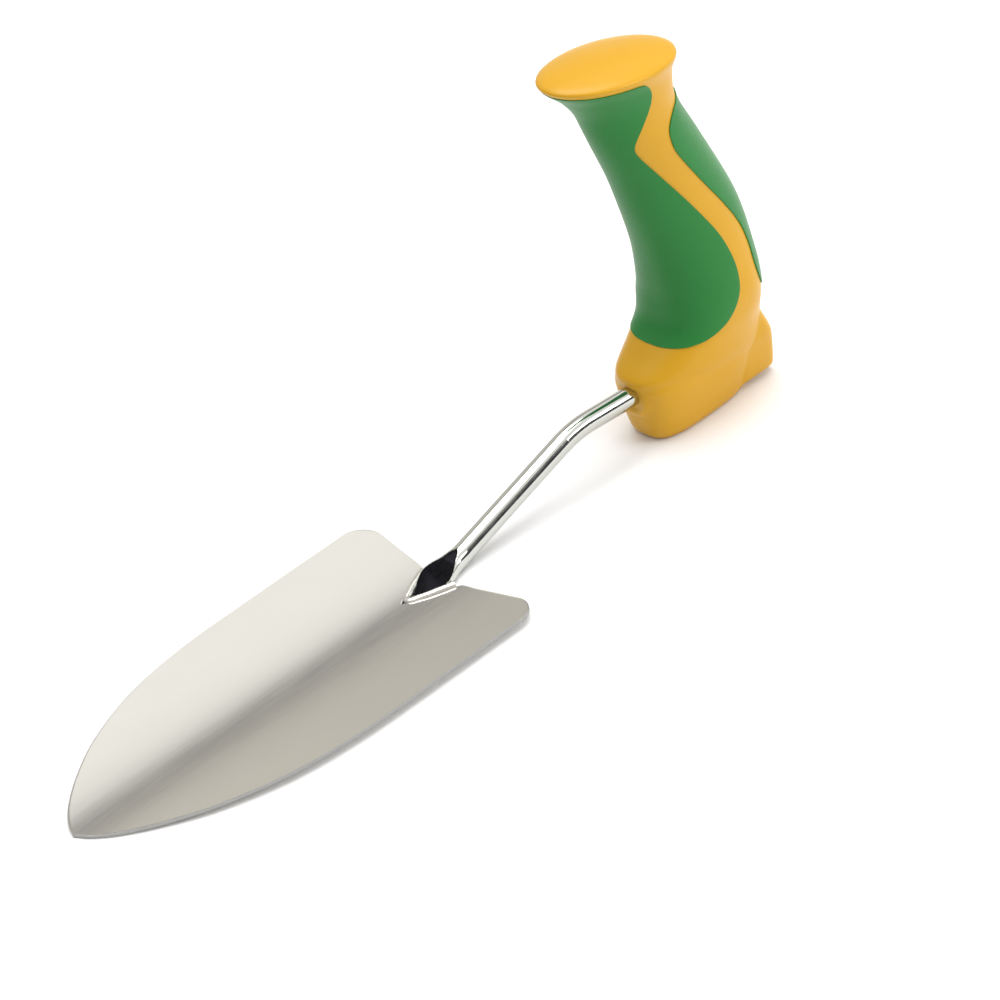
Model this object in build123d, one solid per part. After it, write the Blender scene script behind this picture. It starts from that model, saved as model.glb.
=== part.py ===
from build123d import *
import math
import os

# Hand trowel with an upright pistol-style grip. Millimetres, +X towards the blade's tip,
# +Y to the user's left, +Z up. The origin is under the middle of the trowel on the surface
# that it lies on, so the blade's fold and the handle's keel both touch z = 0.

# ---- driving dimensions ----
LENGTH = 270.0              # tip of the blade to the back of the handle
TIP_X = LENGTH / 2
BACK_X = -LENGTH / 2

SHEET = 1.0                 # thickness of the blade's sheet
BLADE_WIDTH = 74.0
DISH_ANGLE = 5.0            # rise of each wing above level
BLADE_CORNER_X = -11.0      # rearmost points of the wings, before rounding
BLADE_CORNER_R = 8.0
NOTCH_X = -5.5              # mouth of the notch that the shaft's foot sits in
NOTCH_HALF = 7.9
NOTCH_TIP_X = 9.5
NOTCH_MIN_HALF = 0.9

ROD_D = 6.3
FOOT_X = -3.0               # widest part of the shaft's flattened foot
FOOT_HALF = 5.2             # half width of the foot there
FOOT_CLEAR = 0.2            # height of the foot's underside
CRANK_X, CRANK_Z = -62.5, 17.5      # where the two straight runs of the shaft would meet
RISE_ANGLE = 16.2           # slope of the run that climbs from the blade
FALL_ANGLE = 4.0            # slope of the run that drops into the handle
CRANK_R = 34.0
TANG_END_X = -124.0         # hidden end of the shaft inside the handle
GROOVE_DEPTH = 0.7          # grooves that lock the tang in the moulding
GROOVE_WIDTH = 2.4

KEEL_BACK_X = -123.6        # end of the keel's flat underside
HEEL_HALF = 10.0
HEEL_Z = 2.2                # underside of the heel behind the keel
PAD_DEPTH = 2.2             # thickness of the soft overmoulding

RIM_Z = 119.4               # height of the middle of the oval cap's rim
CAP_TILT = 8.5              # the cap's front edge is raised by this angle


def tan(degrees):
    return math.tan(math.radians(degrees))


# ---- blade ----
def blade_outline():
    """Half of the blade's outline seen from above, closed along the fold."""
    half = BLADE_WIDTH / 2
    tip = (TIP_X, 0)
    side = [(TIP_X - 8, 9.8), (TIP_X - 18, 18.6), (TIP_X - 32, 27.2), (TIP_X - 52, 34.0),
            (TIP_X - 75, half - 0.3), (TIP_X - 100, half)]
    corner = (BLADE_CORNER_X, half - 0.4)
    mouth = (NOTCH_X, NOTCH_HALF)
    notch_tip = (NOTCH_TIP_X, NOTCH_MIN_HALF)
    with BuildSketch() as s:
        with BuildLine():
            edge = Spline(tip, *side, tangents=[(-0.45, 1), (-1, 0)])
            Line(edge @ 1, corner)
            Line(corner, mouth)
            Line(mouth, notch_tip)
            Line(notch_tip, (NOTCH_TIP_X + NOTCH_MIN_HALF, 0))
            Line((NOTCH_TIP_X + NOTCH_MIN_HALF, 0), tip)
        make_face()
        near_corner = s.vertices().sort_by_distance((corner[0], corner[1], 0))[0]
        fillet(near_corner, BLADE_CORNER_R)
    return s.sketch


def folded_sheet():
    """The V-shaped sheet, long and wide enough for the outline to be cut from it."""
    reach = BLADE_WIDTH / 2 + 4
    rise = reach * tan(DISH_ANGLE)
    thick = SHEET / math.cos(math.radians(DISH_ANGLE))
    section = Plane.YZ * make_face(Polyline(
        (0, 0), (reach, rise), (reach, rise + thick), (0, thick),
        (-reach, rise + thick), (-reach, rise), close=True))
    sheet = Pos(BLADE_CORNER_X - 10, 0, 0) * extrude(section, LENGTH / 2 + 30)
    folds = sheet.edges().filter_by(Axis.X).filter_by(lambda e: abs(e.center().Y) < 0.01)
    return fillet(folds, 1.2 * SHEET)


def make_blade():
    half = extrude(blade_outline(), 30)
    plan = half + mirror(half, Plane.XZ)
    return folded_sheet() & Pos(0, 0, -1) * plan


# ---- shaft ----
def rise_z(x):
    """Height of the lower run's axis."""
    return CRANK_Z - (x - CRANK_X) * tan(RISE_ANGLE)


def fall_z(x):
    """Height of the upper run's axis."""
    return CRANK_Z + (x - CRANK_X) * tan(FALL_ANGLE)


FACET_X = -11.5             # where the ground facet starts on top of the foot
FACET_ANGLE = 19.0
FACET_POINT = (-8.7, 0, 5.0)        # the facet also leans to the left, by its normal
FACET_NORMAL = (0.34, 0.10, 0.94)
TOE_X = 6.4


def facet_z(x):
    top = rise_z(FACET_X) + ROD_D / 2 / math.cos(math.radians(RISE_ANGLE)) - 0.1
    return top - (x - FACET_X) * tan(FACET_ANGLE)


def make_foot():
    """Flattened end of the shaft, lying in the blade's notch."""
    outline = make_face(Polyline(
        (TOE_X, 0), (TOE_X - 2.4, 1.6), (FOOT_X, FOOT_HALF), (FOOT_X - 4, FOOT_HALF),
        (FOOT_X - 12, ROD_D / 2 - 0.2), (FOOT_X - 12, 0), close=True))
    half = extrude(outline, 12)
    foot = Pos(0, 0, FOOT_CLEAR) * (half + mirror(half, Plane.XZ))
    back = FOOT_X - 12
    above = make_face(Plane.XZ * Polyline(
        (back - 1, facet_z(FACET_X) - 1.5), (FACET_X, facet_z(FACET_X) - 0.2),
        (TOE_X, facet_z(TOE_X)), (TOE_X + 10, 30), (back - 1, 30), close=True))
    return foot - extrude(above, 20, both=True)


def make_shaft():
    start = (8.0, 0, rise_z(8.0))
    crank = (CRANK_X, 0, CRANK_Z)
    end = (TANG_END_X, 0, fall_z(TANG_END_X))
    path = FilletPolyline(start, crank, end, radius=CRANK_R)
    rod = sweep(Plane(start, z_dir=path % 0) * Circle(ROD_D / 2), path=path)
    bar = rod + make_foot()
    # everything above the facet is ground away, and nothing reaches under the foot
    bar -= Plane(FACET_POINT, z_dir=FACET_NORMAL) * Pos(0, 0, 10) * Box(50, 50, 20)
    bar -= Pos(0, 0, FOOT_CLEAR - 20) * Box(160, 40, 40)
    bar -= Pos(TOE_X + 20, 0, 0) * Box(40, 40, 40)
    fall = (path % 1)
    for k in range(3):
        x = TANG_END_X + 6 + 2 * GROOVE_WIDTH * k
        ring = Circle(ROD_D / 2 + 2) - Circle(ROD_D / 2 - GROOVE_DEPTH)
        bar -= extrude(Plane((x, 0, fall_z(x)), z_dir=fall) * ring, GROOVE_WIDTH)
    return bar


# ---- weld ----
WELD_REACH = 1.3            # how far the bead spreads over the blade beside the notch
WELD_TOP = 2.2


def make_weld(blade, shaft):
    outline = make_face(Polyline(
        (NOTCH_TIP_X + 2 * WELD_REACH, 0), (NOTCH_TIP_X + WELD_REACH, NOTCH_MIN_HALF + 1),
        (NOTCH_X, NOTCH_HALF + WELD_REACH), (NOTCH_X - 1.5, NOTCH_HALF),
        (NOTCH_X - 1.5, 0), close=True))
    half = extrude(outline, WELD_TOP)
    bead = half + mirror(half, Plane.XZ)
    bead = bead & Pos(0, 0, FOOT_CLEAR + 20) * Box(100, 40, 40)
    return bead - blade - shaft


# ---- handle ----
# rings of the grip from the lip of the shoulder up to the cap: x and z of the centre,
# slope of the ring's plane (front lower), half depth, half width, squareness
GRIP = [
    (-109.2, 16.0, -6.0, 24.4, 12.6, 2.5),
    (-110.0, 19.5, -5.0, 24.8, 13.8, 2.4),
    (-113.2, 25.0, -3.0, 21.6, 14.8, 2.4),
    (-116.9, 31.0, -1.0, 17.9, 16.0, 2.5),
    (-118.0, 37.5, 0.0, 16.9, 16.6, 2.45),
    (-118.2, 45.5, 3.0, 16.8, 15.8, 2.3),
    (-116.4, 61.0, 12.0, 16.6, 14.3, 2.15),
    (-109.9, 83.0, 19.0, 15.0, 12.9, 2.0),
    (-105.7, 95.0, 23.0, 14.3, 12.4, 2.0),
    (-103.5, 103.1, 10.0, 14.8, 12.0, 2.0),
    (-102.4, 109.5, 2.0, 16.2, 12.4, 2.0),
    (-100.6, 114.5, -4.0, 18.9, 13.3, 2.0),
    (-98.9, 117.6, -8.0, 22.0, 14.4, 2.0),
    (-98.3, 119.4, -8.5, 23.4, 15.1, 2.0),
]


def oval(plane, half_depth, half_width, squareness=2.0, points=16):
    """Closed smooth wire round a superellipse; squareness 2 is an ellipse."""
    def signed_power(value, power):
        return math.copysign(abs(value) ** power, value)
    ring = []
    for k in range(points):
        a = 2 * math.pi * k / points
        ring.append((half_depth * signed_power(math.cos(a), 2 / squareness),
                     half_width * signed_power(math.sin(a), 2 / squareness)))
    return plane * make_face(Spline(*ring, periodic=True))


def leaning(x, z, lean):
    """Plane whose normal leans forwards from upright by an angle in degrees."""
    a = math.radians(lean)
    return Plane((x, 0, z), x_dir=(math.cos(a), 0, -math.sin(a)), z_dir=(math.sin(a), 0, math.cos(a)))


def grip_solid(skin=0.0):
    """The grip's outer form, or the form that lies skin millimetres inside it."""
    return loft([oval(leaning(x, z, lean), half_depth - skin, half_width - skin, squareness)
                 for x, z, lean, half_depth, half_width, squareness in GRIP])


# rings of the block under the shoulder, as in GRIP
KEEL = [
    (-106.2, 0.0, 0.0, 16.8, 8.0, 3.0),
    (-106.3, 2.0, 0.0, 19.0, 9.5, 3.0),
    (-106.6, 6.0, 0.0, 20.0, 10.6, 3.0),
    (-107.2, 11.0, 0.0, 21.2, 11.8, 3.0),
    (-108.0, 17.5, 0.0, 22.4, 12.7, 3.0),
    (-109.4, 20.0, 0.0, 22.4, 12.4, 2.8),
]


def make_keel():
    """Tapered block under the shoulder that the handle rests on, with the shaft's socket."""
    return loft([oval(leaning(x, z, lean), half_depth, half_width, squareness)
                 for x, z, lean, half_depth, half_width, squareness in KEEL])


def make_heel():
    """Square block at the back of the keel, clear of the ground."""
    side = make_face(Plane.XZ * Polyline(
        (KEEL_BACK_X + 6, HEEL_Z), (BACK_X + 0.3, HEEL_Z), (BACK_X, HEEL_Z + 10),
        (BACK_X + 3.2, HEEL_Z + 19), (KEEL_BACK_X + 6, HEEL_Z + 19), close=True))
    block = extrude(side, HEEL_HALF, both=True)
    uprights = block.edges().filter_by(lambda e: e.center().X < BACK_X + 3 and abs(e.center().Y) > 1)
    return fillet(uprights, 1.6)


# rings of the cap's shallow dome: centre's x, height over the rim, half length and half width
DOME = [(-98.3, 0.0, 23.4, 15.1), (-98.35, 0.8, 23.0, 14.8), (-98.5, 1.8, 20.6, 13.2),
        (-98.7, 2.8, 15.0, 9.6), (-98.8, 3.35, 8.0, 5.1), (-98.85, 3.5, 2.0, 1.3)]


def make_dome():
    """The thumb rest's top, standing on the flat end of the flared neck."""
    return loft([oval(leaning(x, RIM_Z + height, -CAP_TILT), half_length, half_width)
                 for x, height, half_length, half_width in DOME])


# edges of the soft pads seen from the side, x and z
FRONT_EDGE = [
    (-93.5, 118.9), (-97.6, 118.0), (-100.2, 116.2), (-101.6, 113.6), (-101.6, 110.8),
    (-100.4, 107.9), (-98.2, 104.0), (-96.2, 100.2), (-95.4, 97.0), (-96.5, 93.6),
    (-100.0, 87.6), (-106.0, 77.6), (-112.0, 67.1), (-116.6, 57.9), (-119.1, 48.7),
    (-119.1, 41.8), (-117.0, 36.5), (-113.4, 32.2), (-109.4, 30.0), (-105.1, 28.8),
    (-100.5, 28.4),
]
REAR_EDGE = [
    (-115.6, 104.0), (-112.7, 103.3), (-110.3, 102.2), (-108.1, 100.5), (-106.7, 98.3),
    (-106.4, 95.6), (-107.2, 91.2), (-110.1, 85.2), (-115.4, 75.7), (-121.2, 65.8),
    (-125.5, 57.0), (-127.3, 49.5), (-127.6, 42.5), (-128.6, 37.3), (-130.6, 33.4),
    (-133.4, 31.4),
]


def front_pad_region():
    """Everything in front of the yellow stripe, from just under the cap down to the shoulder."""
    edge = Spline(*FRONT_EDGE)
    outline = edge + Polyline(edge @ 1, (-60, 28.4), (-60, 123.9), edge @ 0)
    return extrude(make_face(Plane.XZ * outline), 30, both=True)


def rear_pad_region():
    """Everything behind the yellow stripe."""
    edge = Spline(*REAR_EDGE)
    outline = edge + Polyline(edge @ 1, (-160, 31.4), (-160, 104.0), edge @ 0)
    return extrude(make_face(Plane.XZ * outline), 30, both=True)


def make_handle(shaft):
    outer = grip_solid()
    inner = grip_solid(PAD_DEPTH)
    body = outer + make_keel() + make_heel() + make_dome()
    skin = outer - inner
    front_pad = skin & front_pad_region()
    rear_pad = skin & rear_pad_region()
    core = body - front_pad - rear_pad - shaft
    return core, front_pad, rear_pad


def write(name, shape):
    export_step(shape, "parts/" + name + ".step")


os.makedirs("parts", exist_ok=True)
blade = make_blade()
shaft = make_shaft()
weld_bead = make_weld(blade, shaft)
handle_core, front_pad, rear_pad = make_handle(shaft)
write("blade", blade)
write("shaft", shaft)
write("weld_bead", weld_bead)
write("handle_core", handle_core)
write("front_pad", front_pad)
write("rear_pad", rear_pad)
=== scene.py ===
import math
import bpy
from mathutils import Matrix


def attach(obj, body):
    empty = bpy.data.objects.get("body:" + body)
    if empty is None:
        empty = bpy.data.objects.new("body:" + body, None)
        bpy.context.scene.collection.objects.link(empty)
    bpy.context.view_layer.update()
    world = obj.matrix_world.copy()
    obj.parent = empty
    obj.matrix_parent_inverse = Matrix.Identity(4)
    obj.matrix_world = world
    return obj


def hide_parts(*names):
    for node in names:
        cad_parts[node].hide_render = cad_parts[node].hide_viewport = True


bl_info = {
    "name": "Garden hand trowel",
    "version": (1, 0, 0),
    "blender": (4, 2, 0),
    "location": "View3D > Sidebar > Trowel",
    "description": "Builds a dished steel hand trowel with a two-material upright grip",
    "category": "Object",
}

import bmesh
import bpy
from mathutils import Matrix, Vector

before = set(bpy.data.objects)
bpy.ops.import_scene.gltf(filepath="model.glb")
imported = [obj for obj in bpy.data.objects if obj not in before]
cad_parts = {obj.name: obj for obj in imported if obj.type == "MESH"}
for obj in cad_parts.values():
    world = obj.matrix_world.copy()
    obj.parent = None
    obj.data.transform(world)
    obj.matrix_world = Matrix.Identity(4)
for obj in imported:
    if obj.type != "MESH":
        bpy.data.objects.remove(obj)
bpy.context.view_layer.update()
MM = 0.001

# Sizes and places are in millimetres: X runs along the tool to the blade's tip, Z is up.
# A ring is the x and z of its centre, the slope of its plane in degrees (front lower),
# its half depth, half width and squareness (2 is an ellipse).

# ---- handle: the grip from the lip of the shoulder up to the cap's rim ----
GRIP_RINGS = [
    (-109.2, 16.0, -6.0, 24.4, 12.6, 2.5),
    (-110.0, 19.5, -5.0, 24.8, 13.8, 2.4),
    (-113.2, 25.0, -3.0, 21.6, 14.8, 2.4),
    (-116.9, 31.0, -1.0, 17.9, 16.0, 2.5),
    (-118.0, 37.5, 0.0, 16.9, 16.6, 2.45),
    (-118.2, 45.5, 3.0, 16.8, 15.8, 2.3),
    (-116.4, 61.0, 12.0, 16.6, 14.3, 2.15),
    (-109.9, 83.0, 19.0, 15.0, 12.9, 2.0),
    (-105.7, 95.0, 23.0, 14.3, 12.4, 2.0),
    (-103.5, 103.1, 10.0, 14.8, 12.0, 2.0),
    (-102.4, 109.5, 2.0, 16.2, 12.4, 2.0),
    (-100.6, 114.5, -4.0, 18.9, 13.3, 2.0),
    (-98.9, 117.6, -8.0, 22.0, 14.4, 2.0),
    (-98.3, 119.4, -8.5, 23.4, 15.1, 2.0),
]
# the block under the shoulder, from its flat underside up into the shoulder
KEEL_RINGS = [
    (-106.2, 0.0, 0.0, 16.6, 7.9, 3.2),
    (-106.2, 0.6, 0.0, 17.9, 8.8, 3.2),
    (-106.4, 2.6, 0.0, 19.2, 9.8, 3.2),
    (-106.6, 6.0, 0.0, 20.0, 10.6, 3.2),
    (-107.2, 11.0, 0.0, 21.2, 11.8, 3.2),
    (-108.0, 17.5, 0.0, 22.4, 12.8, 3.2),
    (-109.4, 20.0, 0.0, 22.4, 12.4, 3.0),
]
# the block behind the keel, a little clear of the ground
HEEL_RINGS = [
    (-126.6, 2.2, 0.0, 7.7, 8.2, 6.0),
    (-126.6, 2.9, 0.0, 8.4, 9.0, 6.0),
    (-126.6, 12.5, 0.0, 8.4, 10.6, 6.0),
    (-126.4, 16.5, 0.0, 8.2, 11.2, 5.0),
    (-125.6, 22.0, 0.0, 7.4, 10.8, 4.0),
]
# the cap's shallow dome, from just inside its rim to the crown
DOME_RINGS = [
    (-98.3, 118.6, -8.5, 22.6, 14.4, 2.0),
    (-98.3, 119.6, -8.5, 23.5, 15.2, 2.0),
    (-98.35, 120.3, -8.5, 23.1, 14.9, 2.0),
    (-98.5, 121.3, -8.5, 20.6, 13.2, 2.0),
    (-98.7, 122.3, -8.5, 15.0, 9.6, 2.0),
    (-98.8, 122.9, -8.5, 8.0, 5.1, 2.0),
    (-98.85, 123.1, -8.5, 2.0, 1.3, 2.0),
]
# the rolled lip where the shaft goes into the keel
COLLAR_PLACE = (-86.8, 0, 15.0)
COLLAR_RADIUS, COLLAR_LIP = 5.0, 1.3
MOULDING_GRAIN = 0.5        # size of the cells that the moulding's parts are merged in
# edges of the soft pads seen from the side, x and z
FRONT_EDGE = [
    (-93.5, 118.9), (-97.6, 118.0), (-100.2, 116.2), (-101.6, 113.6), (-101.6, 110.8),
    (-100.4, 107.9), (-98.2, 104.0), (-96.2, 100.2), (-95.4, 97.0), (-96.5, 93.6),
    (-100.0, 87.6), (-106.0, 77.6), (-112.0, 67.1), (-116.6, 57.9), (-119.1, 48.7),
    (-119.1, 41.8), (-117.0, 36.5), (-113.4, 32.2), (-109.4, 30.0), (-105.1, 28.8),
    (-100.5, 28.4),
]
REAR_EDGE = [
    (-115.6, 104.0), (-112.7, 103.3), (-110.3, 102.2), (-108.1, 100.5), (-106.7, 98.3),
    (-106.4, 95.6), (-107.2, 91.2), (-110.1, 85.2), (-115.4, 75.7), (-121.2, 65.8),
    (-125.5, 57.0), (-127.3, 49.5), (-127.6, 42.5), (-128.6, 37.3), (-130.6, 33.4),
    (-133.4, 31.4),
]
PAD_THICKNESS = 1.5
PAD_ROLL = 0.4              # rounding of the pads' edges

# ---- blade: outline of its side from the tip, x and y ----
BLADE_SIDE = [
    (135.0, 0.0), (132.4, 5.0), (127.0, 11.0), (117.0, 18.7), (103.0, 26.6), (83.0, 33.4),
    (60.0, 36.5), (35.0, 37.0),
]
VALLEY_R = 12.0             # roundness of the fold along the middle
RIM_ROUND = 0.35            # rounding of the cut edge
NOTCH_TIP_X, NOTCH_TIP_HALF = 9.5, 0.9
NOTCH_X, NOTCH_HALF = -5.5, 7.9     # mouth of the notch that the shaft's foot sits in
WING_BACK_X = -9.0          # where the back edge turns into the rounded corner
CORNER_Y = 29.0
CORNER_LONG, CORNER_WIDE = 7.4, 8.0

# ---- shaft ----
CRANK_X, CRANK_Z = -62.5, 17.5      # where the two straight runs would meet
RISE_ANGLE = 16.2           # slope of the run that climbs from the blade
FALL_ANGLE = 4.0            # slope of the run that drops into the handle
CRANK_R = 34.0
CRANK_STEPS = 8
GROUND_GAP = 0.2            # clearance under the foot and the weld
FACET_POINT = Vector((-8.7, 0.0, 5.0))
FACET_NORMAL = Vector((0.34, 0.10, 0.94)).normalized()
FACET_REACH = 14            # the facet lies within this distance of x = 0
SHAFT_EASE = 0.12
# path of the weld round the notch
WELD_PATH = [
    (-4.4, -6.4, 1.1), (0.0, -4.6, 1.0), (5.0, -2.3, 0.8), (8.0, 0.0, 0.6),
    (5.0, 2.3, 0.8), (0.0, 4.6, 1.0), (-4.4, 6.4, 1.1),
]
WELD_RADIUS = 1.2


def rgb(r, g, b):
    """Linear colour from everyday 0-255 values."""
    def linear(c):
        c /= 255
        return c / 12.92 if c <= 0.04045 else ((c + 0.055) / 1.055) ** 2.4
    return (linear(r), linear(g), linear(b), 1.0)


# ---- property groups ----
class TrowelSizes(bpy.types.PropertyGroup):
    sheet: bpy.props.FloatProperty(
        name="Blade sheet", description="Thickness of the blade's steel sheet",
        default=0.0010, min=0.0005, max=0.004, unit="LENGTH")
    dish: bpy.props.FloatProperty(
        name="Dish", description="Rise of each wing of the blade above level",
        default=math.radians(5.0), min=0.0, max=0.6, subtype="ANGLE")
    rod: bpy.props.FloatProperty(
        name="Shaft diameter", description="Diameter of the bent steel rod",
        default=0.0063, min=0.003, max=0.012, unit="LENGTH")
    pad_proud: bpy.props.FloatProperty(
        name="Pad height", description="How far the soft pads stand above the hard moulding",
        default=0.00035, min=0.0, max=0.001, unit="LENGTH")


class TrowelColours(bpy.types.PropertyGroup):
    steel: bpy.props.FloatVectorProperty(
        name="Blade steel", description="Colour of the satin blade",
        default=rgb(229, 227, 221)[:3], size=3, subtype="COLOR", min=0, max=1)
    chrome: bpy.props.FloatVectorProperty(
        name="Shaft chrome", description="Colour of the bright rod",
        default=rgb(204, 205, 200)[:3], size=3, subtype="COLOR", min=0, max=1)
    yellow: bpy.props.FloatVectorProperty(
        name="Hard moulding", description="Colour of the hard yellow plastic",
        default=rgb(203, 152, 18)[:3], size=3, subtype="COLOR", min=0, max=1)
    green: bpy.props.FloatVectorProperty(
        name="Soft pads", description="Colour of the green rubber",
        default=rgb(36, 120, 52)[:3], size=3, subtype="COLOR", min=0, max=1)


# ---- small tools ----
def clear_selection():
    """Leaves edit mode and deselects everything."""
    if bpy.context.object and bpy.context.object.mode != "OBJECT":
        bpy.ops.object.mode_set(mode="OBJECT")
    bpy.ops.object.select_all(action="DESELECT")


def pick(obj):
    """Makes this object the only selected and the active one."""
    clear_selection()
    bpy.context.view_layer.objects.active = obj
    obj.select_set(True)


def new_material(name, colour, metallic, roughness):
    """A material, its node tree and its shader."""
    material = bpy.data.materials.new(name)
    material.use_nodes = True
    shader = material.node_tree.nodes["Principled BSDF"]
    shader.inputs["Base Color"].default_value = (*colour[:3], 1.0)
    shader.inputs["Metallic"].default_value = metallic
    shader.inputs["Roughness"].default_value = roughness
    return material, material.node_tree, shader


def noise(tree, scale, stretch=(1, 1, 1)):
    """Noise on the object's own coordinates, in metres."""
    coords = tree.nodes.new("ShaderNodeTexCoord")
    mapping = tree.nodes.new("ShaderNodeMapping")
    mapping.inputs["Scale"].default_value = stretch
    texture = tree.nodes.new("ShaderNodeTexNoise")
    texture.inputs["Scale"].default_value = scale
    texture.inputs["Detail"].default_value = 3.0
    tree.links.new(coords.outputs["Object"], mapping.inputs["Vector"])
    tree.links.new(mapping.outputs["Vector"], texture.inputs["Vector"])
    return texture.outputs["Fac"]


def vary(tree, source, low, high, target):
    """Feeds a value that runs from low to high over the middle of the source's range."""
    spread = tree.nodes.new("ShaderNodeMapRange")
    spread.inputs["From Min"].default_value = 0.3
    spread.inputs["From Max"].default_value = 0.7
    spread.inputs["To Min"].default_value = low
    spread.inputs["To Max"].default_value = high
    tree.links.new(source, spread.inputs["Value"])
    tree.links.new(spread.outputs["Result"], target)


def tint(tree, source, dark, light, target):
    """Feeds a colour between dark and light with the source."""
    mix = tree.nodes.new("ShaderNodeMix")
    mix.data_type = "RGBA"
    mix.inputs["A"].default_value = (*dark[:3], 1)
    mix.inputs["B"].default_value = (*light[:3], 1)
    tree.links.new(source, mix.inputs["Factor"])
    tree.links.new(mix.outputs["Result"], target)


def relief(tree, source, shader, depth_mm):
    """Fine bumps of this depth on the shader's surface."""
    bump = tree.nodes.new("ShaderNodeBump")
    bump.inputs["Distance"].default_value = depth_mm * MM
    bump.inputs["Strength"].default_value = 1.0
    tree.links.new(source, bump.inputs["Height"])
    tree.links.new(bump.outputs["Normal"], shader.inputs["Normal"])


def ring_at(rings, r):
    """Ring values at a fractional position, on a smooth curve through the listed rings."""
    last = len(rings) - 1
    r = min(max(r, 0.0), last)
    k = min(int(r), last - 1)
    t = r - k
    before, after = rings[max(k - 1, 0)], rings[min(k + 2, last)]
    values = []
    for p0, p1, p2, p3 in zip(before, rings[k], rings[k + 1], after):
        m1 = (p2 - p0) / (2 if k > 0 else 1)
        m2 = (p3 - p1) / (2 if k + 2 <= last else 1)
        values.append((2 * t**3 - 3 * t**2 + 1) * p1 + (t**3 - 2 * t**2 + t) * m1
                      + (3 * t**2 - 2 * t**3) * p2 + (t**3 - t**2) * m2)
    return values


def smooth_through(points, t):
    """Point on a smooth curve through the points, t from 0 to 1."""
    return ring_at(points, t * (len(points) - 1))


def signed_power(value, power):
    """A power that keeps the value's sign."""
    return math.copysign(abs(value) ** power, value)


def skin_point(rings, r, angle, out):
    """Point on the ringed form, in millimetres; angle 0 is the front, out is outward."""
    x, z, lean, depth, width, square = ring_at(rings, r)
    lean = math.radians(lean)
    along = (depth + out) * signed_power(math.cos(angle), 2 / square)
    side = (width + out) * signed_power(math.sin(angle), 2 / square)
    return Vector((x + along * math.cos(lean), side, z - along * math.sin(lean)))


def ring_column(name, rings, segments, steps):
    """A closed column: a disc is extruded ring by ring, then every ring is set in its place."""
    clear_selection()
    bpy.ops.mesh.primitive_circle_add(vertices=segments, radius=1, fill_type="NGON")
    column = bpy.context.object
    column.name = name
    bpy.ops.object.mode_set(mode="EDIT")
    count = (len(rings) - 1) * steps + 1
    for _ in range(count - 1):
        bpy.ops.mesh.extrude_region_move(TRANSFORM_OT_translate={"value": (0, 0, 1)})
    bpy.ops.mesh.select_all(action="DESELECT")
    edit = bmesh.from_edit_mesh(column.data)
    for edge in edit.edges:
        edge.select_set(edge.is_boundary)
    bpy.ops.mesh.edge_face_add()
    edit = bmesh.from_edit_mesh(column.data)
    for v in edit.verts:
        x, z, lean, depth, width, square = ring_at(rings, round(v.co.z) / steps)
        lean = math.radians(lean)
        along = depth * signed_power(v.co.x, 2 / square)
        side = width * signed_power(v.co.y, 2 / square)
        v.co = Vector((x + along * math.cos(lean), side, z - along * math.sin(lean))) * MM
    bmesh.update_edit_mesh(column.data)
    bpy.ops.mesh.select_all(action="SELECT")
    bpy.ops.mesh.normals_make_consistent(inside=False)
    bpy.ops.object.mode_set(mode="OBJECT")
    return column


def apply_modifier(obj, kind, name, **settings):
    """Adds a modifier with these settings and applies it."""
    pick(obj)
    modifier = obj.modifiers.new(name, kind)
    for key, value in settings.items():
        setattr(modifier, key, value)
    bpy.ops.object.modifier_apply(modifier=modifier.name)


def slice_off(point, normal):
    """Cuts away what lies on the normal's side of a plane and closes the cut, in edit mode."""
    bpy.ops.mesh.select_all(action="SELECT")
    bpy.ops.mesh.bisect(plane_co=point, plane_no=normal, use_fill=True, clear_outer=True)


def place_piece(obj, material, *nodes):
    """Gives the piece its finish and puts it in the frame instead of the named nodes."""
    pick(obj)
    bpy.ops.object.transform_apply(location=True, rotation=True, scale=True)
    obj.data.materials.clear()
    obj.data.materials.append(material)
    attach(obj, "root")
    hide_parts(*nodes)


# ---- finishes ----
def steel_finish():
    colour = bpy.context.scene.trowel_colours.steel
    material, tree, shader = new_material("satin steel", colour, 1.0, 0.2)
    grain = noise(tree, 60, (1, 14, 14))
    vary(tree, grain, 0.195, 0.215, shader.inputs["Roughness"])
    tint(tree, grain, [c * 0.95 for c in colour], colour, shader.inputs["Base Color"])
    relief(tree, noise(tree, 160, (1, 10, 10)), shader, 0.0015)
    return material


# The sheet's cut edge: darker and rougher because a sheared edge is dull, and darkened further as
# painted shade standing in for the shadowed floor it faces.
def dull_edge_and_painted_shade_finish():
    material, tree, shader = new_material("dull cut edge with painted shade", (0.36, 0.36, 0.35), 1.0, 0.45)
    marks = noise(tree, 700)
    vary(tree, marks, 0.38, 0.52, shader.inputs["Roughness"])
    tint(tree, marks, (0.3, 0.3, 0.29), (0.42, 0.42, 0.41), shader.inputs["Base Color"])
    return material


def chrome_finish():
    colour = bpy.context.scene.trowel_colours.chrome
    material, tree, shader = new_material("bright chrome", colour, 1.0, 0.08)
    marks = noise(tree, 220)
    vary(tree, marks, 0.05, 0.13, shader.inputs["Roughness"])
    tint(tree, marks, [c * 0.95 for c in colour], colour, shader.inputs["Base Color"])
    return material


def weld_finish():
    colour = bpy.context.scene.trowel_colours.steel
    material, tree, shader = new_material("polished weld", colour, 1.0, 0.2)
    ripple = noise(tree, 350)
    vary(tree, ripple, 0.14, 0.3, shader.inputs["Roughness"])
    tint(tree, ripple, [c * 0.9 for c in colour], colour, shader.inputs["Base Color"])
    relief(tree, ripple, shader, 0.12)
    return material


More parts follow.
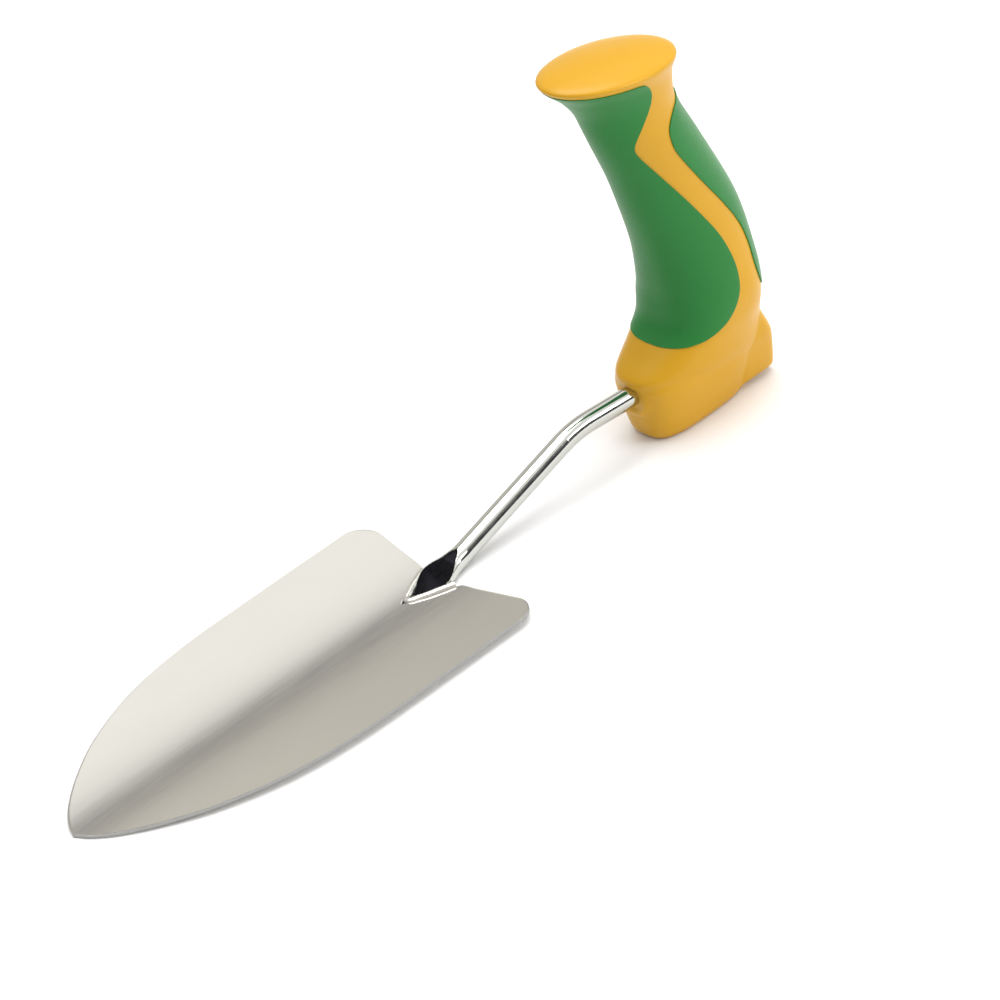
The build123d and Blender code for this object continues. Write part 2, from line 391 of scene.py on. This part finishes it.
# The ground facet's near black is a painted dark reflection, not a colour of the steel.
def facet_painted_dark_reflection_finish():
    material, tree, shader = new_material("ground facet painted as a dark reflection", (0.006, 0.006, 0.008), 1.0, 0.25)
    grain = noise(tree, 500, (1, 5, 1))
    vary(tree, grain, 0.2, 0.34, shader.inputs["Roughness"])
    tint(tree, grain, (0.003, 0.003, 0.004), (0.010, 0.010, 0.012), shader.inputs["Base Color"])
    return material


def yellow_finish():
    colour = bpy.context.scene.trowel_colours.yellow
    material, tree, shader = new_material("hard yellow plastic", colour, 0.0, 0.34)
    shader.inputs["Subsurface Weight"].default_value = 0.12
    shader.inputs["Specular IOR Level"].default_value = 0.35
    shader.inputs["Subsurface Radius"].default_value = (0.003, 0.0016, 0.0006)
    cloud = noise(tree, 45)
    vary(tree, cloud, 0.28, 0.42, shader.inputs["Roughness"])
    tint(tree, cloud, [c * 0.95 for c in colour], colour, shader.inputs["Base Color"])
    relief(tree, noise(tree, 900), shader, 0.012)
    return material


def green_finish():
    colour = bpy.context.scene.trowel_colours.green
    material, tree, shader = new_material("soft green rubber", colour, 0.0, 0.5)
    shader.inputs["Specular IOR Level"].default_value = 0.2
    shader.inputs["Sheen Weight"].default_value = 0.25
    shader.inputs["Sheen Roughness"].default_value = 0.4
    grain = noise(tree, 1400)
    vary(tree, grain, 0.42, 0.58, shader.inputs["Roughness"])
    tint(tree, noise(tree, 70), [c * 0.9 for c in colour], colour, shader.inputs["Base Color"])
    relief(tree, grain, shader, 0.03)
    return material


# ---- stage ----
def make_camera():
    """A long lens looking back and down at the tool from ahead of its tip and its left side."""
    right = Vector((-0.70486, 0.69008, -0.16417))
    back = Vector((0.51223, 0.65528, 0.55518))
    up = back.cross(right)
    data = bpy.data.cameras.new("camera")
    data.sensor_width = 36.0
    data.lens = 227.2
    data.clip_end = 10.0
    camera = bpy.data.objects.new("camera", data)
    bpy.context.scene.collection.objects.link(camera)
    turn = Matrix((right, up, back)).transposed().to_4x4()
    camera.matrix_world = Matrix.Translation(Vector((0.88278, 1.16929, 1.00252))) @ turn
    bpy.context.scene.camera = camera


def area_light(name, place, aim, side, watts):
    """A square soft light in metres and watts."""
    data = bpy.data.lights.new(name, "AREA")
    data.shape = "SQUARE"
    data.size, data.energy = side, watts
    lamp = bpy.data.objects.new(name, data)
    bpy.context.scene.collection.objects.link(lamp)
    lamp.location = place
    lamp.rotation_euler = (Vector(aim) - Vector(place)).to_track_quat("-Z", "Y").to_euler()


def studio_air():
    """Soft surroundings: a bright side, a dark belt below it and pale walls lower down.

    Height in the ramp is measured along the direction of the bright side."""
    world = bpy.data.worlds.new("studio air")
    bpy.context.scene.world = world
    world.use_nodes = True
    tree = world.node_tree
    coords = tree.nodes.new("ShaderNodeTexCoord")
    dot = tree.nodes.new("ShaderNodeVectorMath")
    dot.operation = "DOT_PRODUCT"
    dot.inputs[1].default_value = Vector((-0.60, 0.10, 0.79)).normalized()
    ramp = tree.nodes.new("ShaderNodeValToRGB")
    ramp.color_ramp.elements[0].position = 0.0
    ramp.color_ramp.elements[0].color = (0.55, 0.55, 0.55, 1)
    ramp.color_ramp.elements[1].position = 1.0
    ramp.color_ramp.elements[1].color = (1.15, 1.15, 1.15, 1)
    belt = ((0.560, 0.86, 0.07), (0.580, 0.80, 0.07), (0.610, 0.26, 0.02), (0.685, 0.12, 0.0),
            (0.72, 1.1, 0.02))
    for place, level, warmth in belt:
        stop = ramp.color_ramp.elements.new(place)
        stop.color = (level, level * (1 - 0.7 * warmth), level * (1 - 2 * warmth), 1)
    tree.links.new(coords.outputs["Generated"], dot.inputs[0])
    tree.links.new(dot.outputs["Value"], ramp.inputs["Fac"])
    background = tree.nodes["Background"]
    tree.links.new(ramp.outputs["Color"], background.inputs["Color"])


def dark_flag():
    """A card beside the tool, seen only as the dark band in the bright metal."""
    clear_selection()
    bpy.ops.mesh.primitive_plane_add(size=1, location=(-0.50, 1.45, 0.43),
                                     rotation=(math.radians(90), 0, math.radians(20)))
    flag = bpy.context.object
    flag.name = "dark_flag"
    flag.scale = (1.3, 0.84, 1)
    flag.visible_camera = flag.visible_diffuse = flag.visible_shadow = False
    flag.data.materials.append(new_material("dark flag", (0.02, 0.02, 0.025), 0, 0.9)[0])


class TROWEL_OT_stage(bpy.types.Operator):
    """Makes the camera, the pale floor and the soft light"""
    bl_idname = "trowel.stage"
    bl_label = "Stage"

    def execute(self, context):
        make_camera()
        clear_selection()
        bpy.ops.mesh.primitive_plane_add(size=6)
        floor = context.object
        floor.name = "floor"
        floor.data.materials.append(new_material("pale floor", (0.86, 0.86, 0.87), 0, 0.9)[0])
        studio_air()
        context.scene.view_settings.view_transform = "Standard"
        dark_flag()
        area_light("overhead", (-0.3, -0.2, 1.9), (0, 0, 0), 1.6, 30)
        area_light("right side", (-0.9, 1.3, 0.7), (-0.1, 0, 0.05), 0.8, 10)
        return {"FINISHED"}


# ---- blade ----
def outline_x(points, y):
    """Where the outline, listed as x and y with y rising, is at this y."""
    count = 200
    line = [smooth_through(points, k / count) for k in range(count + 1)]
    for (x0, y0), (x1, y1) in zip(line, line[1:]):
        if y <= y1:
            return x0 + (x1 - x0) * (y - y0) / max(y1 - y0, 1e-6)
    return line[-1][0]


def rear_x(y):
    """Back edge of one wing: notch, straight edge and rounded corner."""
    if y < NOTCH_TIP_HALF:
        return NOTCH_TIP_X + NOTCH_TIP_HALF * math.sqrt(max(0.0, 1 - (y / NOTCH_TIP_HALF) ** 2))
    if y < NOTCH_HALF:
        along = (y - NOTCH_TIP_HALF) / (NOTCH_HALF - NOTCH_TIP_HALF)
        return NOTCH_TIP_X + (NOTCH_X - NOTCH_TIP_X) * along
    if y < CORNER_Y:
        return NOTCH_X + (WING_BACK_X - NOTCH_X) * (y - NOTCH_HALF) / (CORNER_Y - NOTCH_HALF)
    turned = math.sqrt(max(0.0, 1 - ((y - CORNER_Y) / CORNER_WIDE) ** 2))
    return WING_BACK_X + CORNER_LONG * (1 - turned)


class TROWEL_OT_blade(bpy.types.Operator):
    """Makes the blade: a grid laid to the outline, dished, thickened and rounded at its edge"""
    bl_idname = "trowel.blade"
    bl_label = "Blade"

    def execute(self, context):
        sizes = context.scene.trowel_sizes
        length_steps, wing_steps = 150, 48
        clear_selection()
        bpy.ops.mesh.primitive_grid_add(x_subdivisions=length_steps,
                                        y_subdivisions=2 * wing_steps, size=2)
        blade = context.object
        blade.name = "dished_blade"
        half = BLADE_SIDE[-1][1]
        rows = {}
        for k in range(wing_steps + 1):
            y = half * math.sin(math.pi / 2 * k / wing_steps)
            rows[k] = (y, rear_x(y), outline_x(BLADE_SIDE, y))
        slope = math.tan(sizes.dish)
        for v in blade.data.vertices:
            k = round(abs(v.co.y) * wing_steps)
            y, back, front = rows[k]
            x = back + (front - back) * (v.co.x + 1) / 2
            z = slope * (math.sqrt(y * y + VALLEY_R ** 2) - VALLEY_R)
            v.co = Vector((x, math.copysign(y, v.co.y), z)) * MM
        apply_modifier(blade, "WELD", "close seams", merge_threshold=0.02 * MM)
        apply_modifier(blade, "SOLIDIFY", "sheet", thickness=sizes.sheet, offset=1.0)
        apply_modifier(blade, "BEVEL", "rounded rim", width=RIM_ROUND * MM, segments=3,
                       limit_method="ANGLE", angle_limit=math.radians(50))
        bpy.ops.object.shade_smooth()
        place_piece(blade, steel_finish(), "blade")
        # The sheet's edge all round gets the dull edge steel, whose darkness is partly painted shade.
        blade.data.materials.append(dull_edge_and_painted_shade_finish())
        for face in blade.data.polygons:
            if abs(face.normal.z) < 0.7:    # the sheet's edge, all round
                face.material_index = 1
        return {"FINISHED"}


# ---- shaft ----
def rise_z(x):
    """Height of the lower run's axis."""
    return CRANK_Z - (x - CRANK_X) * math.tan(math.radians(RISE_ANGLE))


def fall_z(x):
    """Height of the upper run's axis."""
    return CRANK_Z + (x - CRANK_X) * math.tan(math.radians(FALL_ANGLE))


def shaft_rings(radius):
    """Rings from the toe of the flattened foot up the lower run, round the crank and into the handle."""
    across = RISE_ANGLE - 90.0
    rings = [
        (5.8, 0.55, -90.0, 0.45, 0.8, 2.6), (4.4, 0.8, -90.0, 0.7, 1.7, 2.8),
        (0.8, 1.3, -90.0, 1.3, 3.5, 3.2), (-2.8, 1.8, -88.0, 1.9, 5.2, 3.6),
        (-5.8, 2.3, -84.0, 2.25, 5.0, 3.2), (-8.6, 2.7, -79.0, 2.6, 4.1, 2.5),
        (-11.4, 2.95, -75.5, radius, 3.4, 2.2), (-14.2, rise_z(-14.2), across, radius, 3.2, 2.0),
    ]
    for x in (-17.0, -25.0, -36.0, -46.0):
        rings.append((x, rise_z(x), across, radius, radius, 2.0))
    turn = RISE_ANGLE + FALL_ANGLE
    rise = math.radians(RISE_ANGLE)
    bend_x = CRANK_X + CRANK_R * math.tan(math.radians(turn / 2)) * math.cos(rise)
    centre_x = bend_x - CRANK_R * math.sin(rise)
    centre_z = rise_z(bend_x) - CRANK_R * math.cos(rise)
    for k in range(CRANK_STEPS + 1):
        slope = RISE_ANGLE - turn * k / CRANK_STEPS
        rings.append((centre_x + CRANK_R * math.sin(math.radians(slope)),
                      centre_z + CRANK_R * math.cos(math.radians(slope)),
                      slope - 90.0, radius, radius, 2.0))
    for x in (-76.0, -86.0, -100.0):
        rings.append((x, fall_z(x), -FALL_ANGLE - 90.0, radius, radius, 2.0))
    return rings


class TROWEL_OT_shaft(bpy.types.Operator):
    """Makes the bent shaft with its flattened foot and ground facet"""
    bl_idname = "trowel.shaft"
    bl_label = "Shaft"

    def execute(self, context):
        radius = context.scene.trowel_sizes.rod / 2 / MM
        shaft = ring_column("bent_shaft", shaft_rings(radius), 96, 5)
        pick(shaft)
        bpy.ops.object.mode_set(mode="EDIT")
        slice_off(FACET_POINT * MM, FACET_NORMAL)
        slice_off((0, 0, GROUND_GAP * MM), (0, 0, -1))
        bpy.ops.object.mode_set(mode="OBJECT")
        apply_modifier(shaft, "BEVEL", "eased edges", width=SHAFT_EASE * MM, segments=2,
                       limit_method="ANGLE", angle_limit=math.radians(35))
        bpy.ops.object.shade_smooth_by_angle(angle=math.radians(35))
        place_piece(shaft, chrome_finish(), "shaft")
        # Faces of the facet get the near-black material, a painted dark reflection.
        shaft.data.materials.append(facet_painted_dark_reflection_finish())
        for face in shaft.data.polygons:
            level = abs(face.normal.dot(FACET_NORMAL)) > 0.998
            if level and abs(face.center.x / MM) < FACET_REACH:
                face.material_index = 1
        return {"FINISHED"}


# ---- weld ----
class TROWEL_OT_weld(bpy.types.Operator):
    """Makes the bead that joins the foot to the blade round the notch"""
    bl_idname = "trowel.weld"
    bl_label = "Weld"

    def execute(self, context):
        clear_selection()
        bpy.ops.curve.primitive_bezier_curve_add(radius=1)
        curve = context.object
        spline = curve.data.splines[0]
        spline.bezier_points.add(len(WELD_PATH) - 2)
        for point, (x, y, z) in zip(spline.bezier_points, WELD_PATH):
            point.co = (x * MM, y * MM, z * MM)
            point.handle_left_type = point.handle_right_type = "AUTO"
        curve.data.bevel_depth = WELD_RADIUS * MM
        curve.data.bevel_resolution = 8
        curve.data.resolution_u = 16
        curve.data.use_fill_caps = True
        pick(curve)
        bpy.ops.object.convert(target="MESH")
        bead = context.object
        bead.name = "weld_ring"
        apply_modifier(bead, "WELD", "close seams", merge_threshold=0.01 * MM)
        bpy.ops.object.mode_set(mode="EDIT")
        bpy.ops.mesh.select_all(action="SELECT")
        bpy.ops.mesh.normals_make_consistent(inside=False)
        slice_off((0, 0, GROUND_GAP * MM), (0, 0, -1))
        bpy.ops.object.mode_set(mode="OBJECT")
        bpy.ops.object.shade_smooth_by_angle(angle=math.radians(60))
        place_piece(bead, weld_finish(), "weld_bead")
        return {"FINISHED"}


# ---- handle ----
def make_collar():
    """Rounded ring where the shaft enters the keel."""
    clear_selection()
    bpy.ops.mesh.primitive_torus_add(
        location=Vector(COLLAR_PLACE) * MM, rotation=(0, math.radians(90 - FALL_ANGLE), 0),
        major_segments=64, minor_segments=20,
        major_radius=COLLAR_RADIUS * MM, minor_radius=COLLAR_LIP * MM)
    collar = bpy.context.object
    bpy.ops.object.transform_apply(location=True, rotation=True, scale=True)
    return collar


class TROWEL_OT_core(bpy.types.Operator):
    """Makes the hard yellow moulding: grip, shoulder, keel, heel and cap in one piece"""
    bl_idname = "trowel.core"
    bl_label = "Hard moulding"

    def execute(self, context):
        parts = [ring_column("grip", GRIP_RINGS, 96, 5), ring_column("keel", KEEL_RINGS, 96, 3),
                 ring_column("heel", HEEL_RINGS, 96, 3), ring_column("dome", DOME_RINGS, 96, 3),
                 make_collar()]
        clear_selection()
        for part in parts:
            part.select_set(True)
        context.view_layer.objects.active = parts[0]
        bpy.ops.object.join()
        core = context.object
        core.name = "hard_moulding"
        apply_modifier(core, "REMESH", "one skin", mode="VOXEL", voxel_size=MOULDING_GRAIN * MM)
        apply_modifier(core, "SMOOTH", "soften", factor=0.5, iterations=6)
        pick(core)
        bpy.ops.object.shade_smooth()
        place_piece(core, yellow_finish(), "handle_core")
        return {"FINISHED"}


def edge_position(x, z, rings):
    """Ring position and angle of the point of the skin that shows at x, z from the side."""
    def above(r):
        cx, cz, lean = ring_at(rings, r)[:3]
        return (z - cz) * math.cos(math.radians(lean)) + (x - cx) * math.sin(math.radians(lean))
    low, high = 0.0, len(rings) - 1.0
    for _ in range(40):
        middle = (low + high) / 2
        if above(middle) > 0:
            low = middle
        else:
            high = middle
    cx, cz, lean, depth, _, square = ring_at(rings, low)
    lean = math.radians(lean)
    along = ((x - cx) * math.cos(lean) - (z - cz) * math.sin(lean)) / depth
    along = max(-1.0, min(1.0, along))
    return low, math.acos(signed_power(along, square / 2))


def make_pad(name, edge, front, proud):
    """A soft pad: a grid laid on the grip's skin inside its edge, thickened and rolled over."""
    rows, columns = 130, 60
    clear_selection()
    bpy.ops.mesh.primitive_grid_add(x_subdivisions=columns, y_subdivisions=rows, size=2)
    pad = bpy.context.object
    pad.name = name
    edges = []
    for k in range(rows + 1):
        x, z = smooth_through(edge, 0.5 - 0.5 * math.cos(math.pi * k / rows))
        edges.append(edge_position(x, z, GRIP_RINGS))
    for k in range(1, rows + 1):    # each row stays under the one above it
        edges[k] = (min(edges[k][0], edges[k - 1][0] - 0.002), edges[k][1])
    for v in pad.data.vertices:
        k = round((v.co.y + 1) / 2 * rows)
        r, reach = edges[rows - k]
        if front:
            angle = reach * v.co.x
        else:
            angle = math.pi + (math.pi - reach) * v.co.x
        v.co = skin_point(GRIP_RINGS, r, angle, proud / MM) * MM
    pick(pad)
    bpy.ops.object.mode_set(mode="EDIT")
    bpy.ops.mesh.select_all(action="SELECT")
    bpy.ops.mesh.remove_doubles(threshold=0.00002)
    bpy.ops.mesh.normals_make_consistent(inside=False)
    bpy.ops.object.mode_set(mode="OBJECT")
    middle = pad.data.polygons[len(pad.data.polygons) // 2 + columns // 2]
    outward = Vector((1 if front else -1, 0, 0.2))
    if middle.normal.dot(outward) < 0:
        bpy.ops.object.mode_set(mode="EDIT")
        bpy.ops.mesh.select_all(action="SELECT")
        bpy.ops.mesh.flip_normals()
        bpy.ops.object.mode_set(mode="OBJECT")
    apply_modifier(pad, "SOLIDIFY", "rubber", thickness=PAD_THICKNESS * MM, offset=-1.0)
    apply_modifier(pad, "BEVEL", "rolled edge", width=PAD_ROLL * MM, segments=3,
                   limit_method="ANGLE", angle_limit=math.radians(50))
    bpy.ops.object.shade_smooth()
    return pad


class TROWEL_OT_pads(bpy.types.Operator):
    """Makes the soft green pads"""
    bl_idname = "trowel.pads"
    bl_label = "Soft pads"

    def execute(self, context):
        sizes = context.scene.trowel_sizes
        finish = green_finish()
        front = make_pad("soft_front_pad", FRONT_EDGE, True, sizes.pad_proud)
        place_piece(front, finish, "front_pad")
        rear = make_pad("soft_rear_pad", REAR_EDGE, False, sizes.pad_proud)
        place_piece(rear, finish, "rear_pad")
        return {"FINISHED"}


class TROWEL_PT_panel(bpy.types.Panel):
    """Lists the steps and the sizes and colours that they use"""
    bl_idname = "TROWEL_PT_panel"
    bl_label = "Hand trowel"
    bl_space_type = "VIEW_3D"
    bl_region_type = "UI"
    bl_category = "Trowel"

    def draw(self, context):
        for group in (context.scene.trowel_sizes, context.scene.trowel_colours):
            for key in group.__annotations__:
                self.layout.prop(group, key)
        for step in STEPS:
            self.layout.operator(step.bl_idname)


STEPS = (TROWEL_OT_stage, TROWEL_OT_blade, TROWEL_OT_shaft, TROWEL_OT_weld, TROWEL_OT_core,
         TROWEL_OT_pads)
CLASSES = (TrowelSizes, TrowelColours, *STEPS, TROWEL_PT_panel)


def register():
    for cls in CLASSES:
        bpy.utils.register_class(cls)
    bpy.types.Scene.trowel_sizes = bpy.props.PointerProperty(type=TrowelSizes)
    bpy.types.Scene.trowel_colours = bpy.props.PointerProperty(type=TrowelColours)


def unregister():
    del bpy.types.Scene.trowel_colours
    del bpy.types.Scene.trowel_sizes
    for cls in reversed(CLASSES):
        bpy.utils.unregister_class(cls)


def main():
    register()
    bpy.ops.trowel.stage()
    bpy.ops.trowel.blade()
    bpy.ops.trowel.shaft()
    bpy.ops.trowel.weld()
    bpy.ops.trowel.core()
    bpy.ops.trowel.pads()
    clear_selection()


if __name__ == "__main__":
    main()
